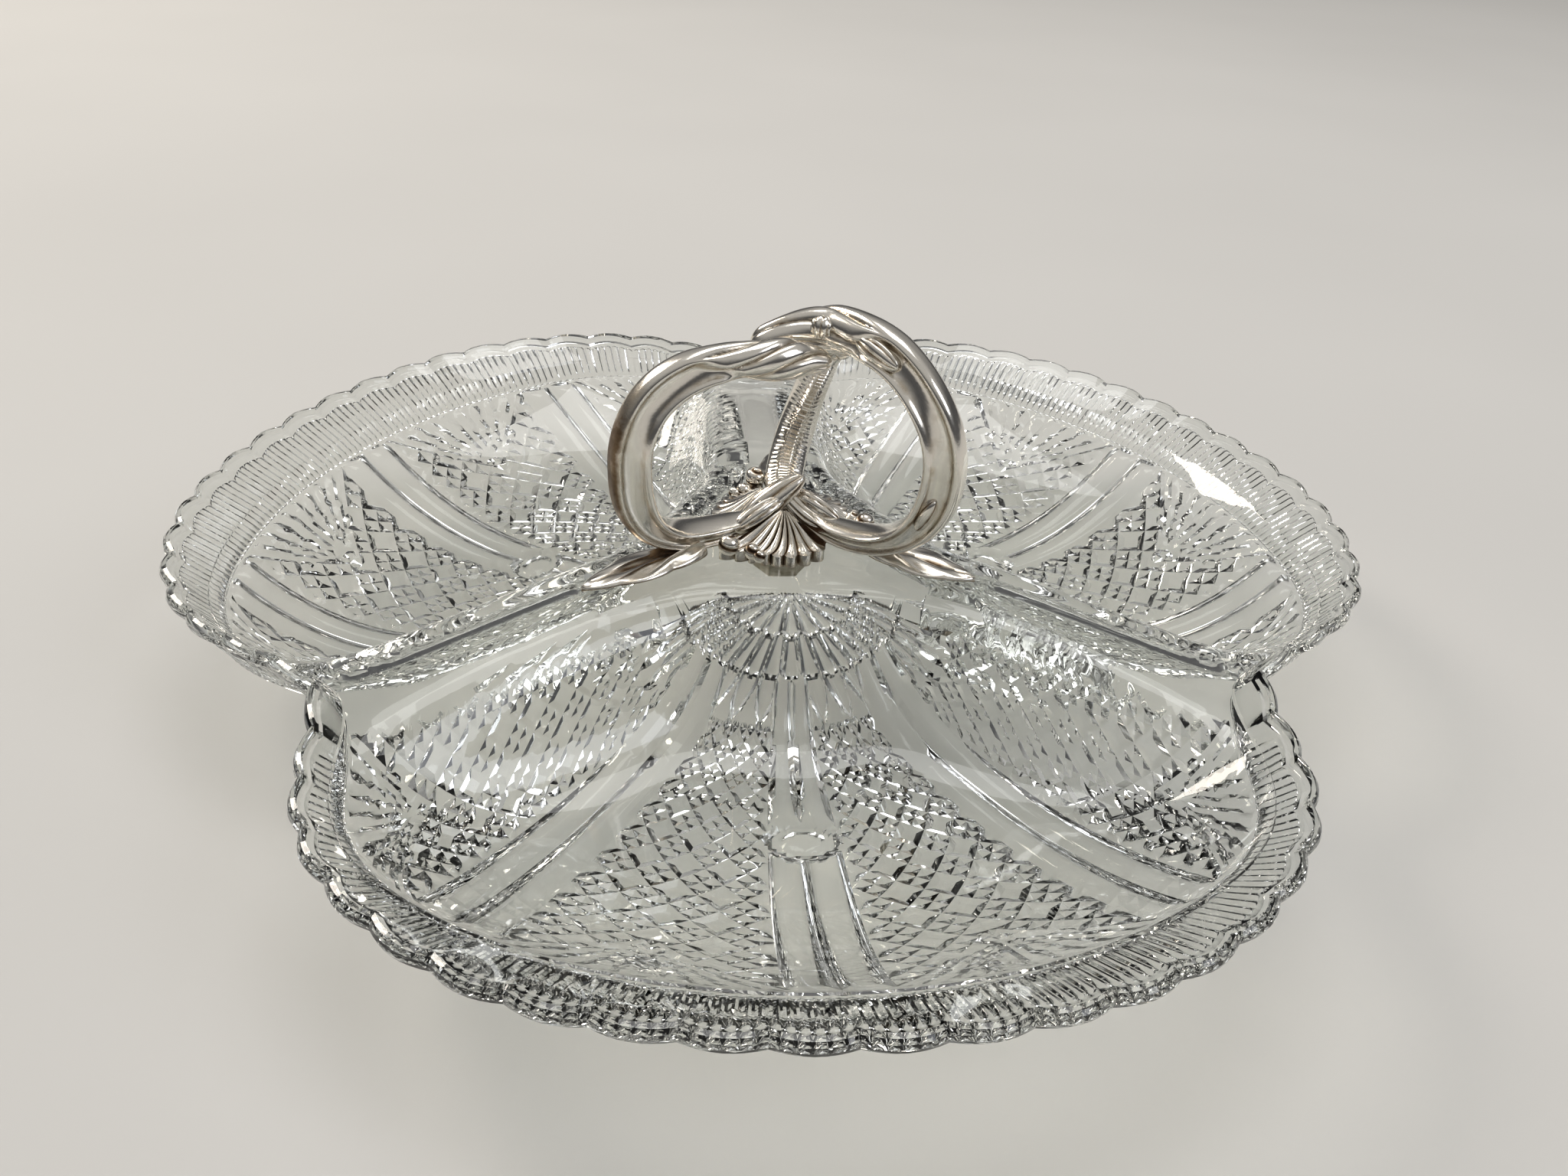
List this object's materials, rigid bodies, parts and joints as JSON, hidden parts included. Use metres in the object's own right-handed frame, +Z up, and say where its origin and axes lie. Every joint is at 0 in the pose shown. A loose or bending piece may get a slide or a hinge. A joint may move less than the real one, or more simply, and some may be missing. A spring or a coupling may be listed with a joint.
{
  "type": "divided serving dish",
  "caption": "Pressed-glass serving dish with deep lobes divided by hollow ridges, a scalloped fluted rim and a cast silver-plated scroll handle bolted through the middle.",
  "frame": {"origin": "middle of the dish's plan on the table plane, under the feet", "axes": "+Z up, -Y towards the lobe at the front, +X to the right"},
  "size_m": [0.2804, 0.2672, 0.0888],
  "materials": {
    "pressed_glass": "fire polished",
    "silver_plate": "polished silver plate, tarnished in the recesses",
    "nickel_silver": "dull turned nickel silver, a white brass",
    "leather": "plain"
  },
  "bodies": {
    "root": {"glass_dish": "pressed_glass", "handle_arm_left": "silver_plate", "handle_arm_right": "silver_plate", "handle_arm_back": "silver_plate", "handle_shell_front": "silver_plate", "handle_shell_right": "silver_plate", "handle_shell_left": "silver_plate", "handle_hub": "silver_plate", "tie_stud": "nickel_silver", "upper_pad": "leather", "lower_pad": "leather", "lower_washer": "nickel_silver", "retaining_nut": "nickel_silver"}
  },
  "joints": []
}
